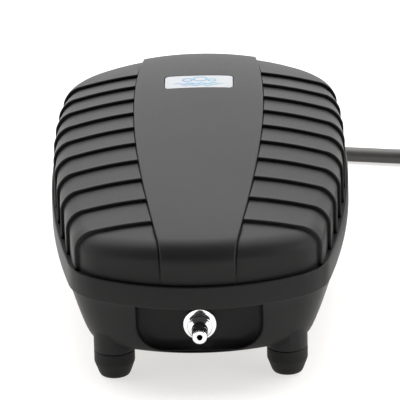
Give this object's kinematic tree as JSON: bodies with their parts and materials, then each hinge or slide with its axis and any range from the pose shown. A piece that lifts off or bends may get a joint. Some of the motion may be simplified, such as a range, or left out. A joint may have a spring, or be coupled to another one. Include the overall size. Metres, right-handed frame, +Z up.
{
  "type": "air pump",
  "caption": "Domed diaphragm air pump on rubber feet, with ribbed cover, front hose nozzle, swinging-arm drive inside and a coiled mains lead.",
  "frame": {"origin": "under the middle of the housing, on the surface that the feet stand on", "axes": "+Y towards the rear where the lead leaves, -Y the front with the nozzle, +X right seen from the front, +Z up"},
  "size_m": [0.2623, 0.2738, 0.0818],
  "materials": {
    "housing_plastic": "fine-grained moulded plastic, slight sheen",
    "rubber": "matte black rubber",
    "badge_foil": "brushed silver-white label foil",
    "chrome": "polished chrome plate",
    "steel": "zinc-plated steel",
    "dark_plastic": "glass-filled plastic",
    "pale_plastic": "natural nylon",
    "brass": "turned brass",
    "copper": "enamelled copper wire",
    "ferrite": "ground ferrite",
    "felt": "wool felt"
  },
  "bodies": {
    "housing": {"upper_cover": "housing_plastic", "lower_housing": "housing_plastic", "name_badge": "badge_foil", "housing_seal": "rubber", "outlet_washer": "rubber", "strain_relief": "rubber", "power_cord": "rubber", "power_cord_coil": "rubber", "power_cord_end": "rubber", "cord_tie": "rubber", "plug_body": "rubber", "housing_screw_front_left": "steel", "rubber_foot_front_left": "rubber", "chassis_damper_front_left": "rubber", "housing_screw_front_right": "steel", "rubber_foot_front_right": "rubber", "chassis_damper_front_right": "rubber", "housing_screw_rear_left": "steel", "rubber_foot_rear_left": "rubber", "chassis_damper_rear_left": "rubber", "housing_screw_rear_right": "steel", "rubber_foot_rear_right": "rubber", "chassis_damper_rear_right": "rubber", "filter_pad": "felt", "outlet_nozzle": "chrome", "nozzle_nut": "brass", "air_hose": "pale_plastic", "cord_clamp": "dark_plastic", "terminal_block": "pale_plastic", "cord_clamp_screw_left": "steel", "plug_pin_left": "chrome", "core_screw_left": "steel", "left_pivot_block": "dark_plastic", "left_pivot_pin": "steel", "left_diaphragm": "rubber", "cord_clamp_screw_right": "steel", "plug_pin_right": "chrome", "core_screw_right": "steel", "right_pivot_block": "dark_plastic", "right_pivot_pin": "steel", "right_diaphragm": "rubber", "chassis": "dark_plastic", "core_laminations": "steel", "coil_bobbin": "pale_plastic", "coil_winding": "copper", "valve_body": "dark_plastic", "valve_lid": "dark_plastic"},
    "left_arm": {"left_arm": "dark_plastic", "left_magnet": "ferrite", "left_diaphragm_screw": "steel"},
    "right_arm": {"right_arm": "dark_plastic", "right_magnet": "ferrite", "right_diaphragm_screw": "steel"},
    "left_inlet_flap": {"left_inlet_flap": "rubber"},
    "left_outlet_flap": {"left_outlet_flap": "rubber"},
    "right_inlet_flap": {"right_inlet_flap": "rubber"},
    "right_outlet_flap": {"right_outlet_flap": "rubber"},
    "filter_cover": {"filter_cover": "housing_plastic"}
  },
  "joints": [
    {"name": "left_arm_swing", "type": "hinge", "parent": "housing", "child": "left_arm", "pos_m": [-0.0303, -0.066, 0.0455], "axis": [0, 0, 1], "range_deg": [-1.5, 1.5], "stiffness_Nm_per_rad": 4, "deforming": ["left_diaphragm"]},
    {"name": "right_arm_swing", "type": "hinge", "parent": "housing", "child": "right_arm", "pos_m": [0.0303, -0.066, 0.0455], "axis": [0, 0, 1], "range_deg": [-1.5, 1.5], "stiffness_Nm_per_rad": 4, "deforming": ["right_diaphragm"]},
    {"name": "left_inlet_flap_hinge", "type": "hinge", "parent": "housing", "child": "left_inlet_flap", "pos_m": [-0.0153, -0.0275, 0.0455], "axis": [0, 0, -1], "range_deg": [0, 12], "stiffness_Nm_per_rad": 0.00005},
    {"name": "left_outlet_flap_hinge", "type": "hinge", "parent": "housing", "child": "left_outlet_flap", "pos_m": [-0.0112, -0.047, 0.0455], "axis": [0, 0, -1], "range_deg": [0, 12], "stiffness_Nm_per_rad": 0.00005},
    {"name": "right_inlet_flap_hinge", "type": "hinge", "parent": "housing", "child": "right_inlet_flap", "pos_m": [0.0153, -0.0275, 0.0455], "axis": [0, 0, 1], "range_deg": [0, 12], "stiffness_Nm_per_rad": 0.00005},
    {"name": "right_outlet_flap_hinge", "type": "hinge", "parent": "housing", "child": "right_outlet_flap", "pos_m": [0.0112, -0.047, 0.0455], "axis": [0, 0, 1], "range_deg": [0, 12], "stiffness_Nm_per_rad": 0.00005},
    {"name": "filter_cover_slide", "type": "slide", "parent": "housing", "child": "filter_cover", "axis": [0, 0, -1], "range_m": [0, 0.008]}
  ],
  "couplings": [
    {"joint": "right_arm_swing", "follows": "left_arm_swing", "ratio": -1}
  ]
}
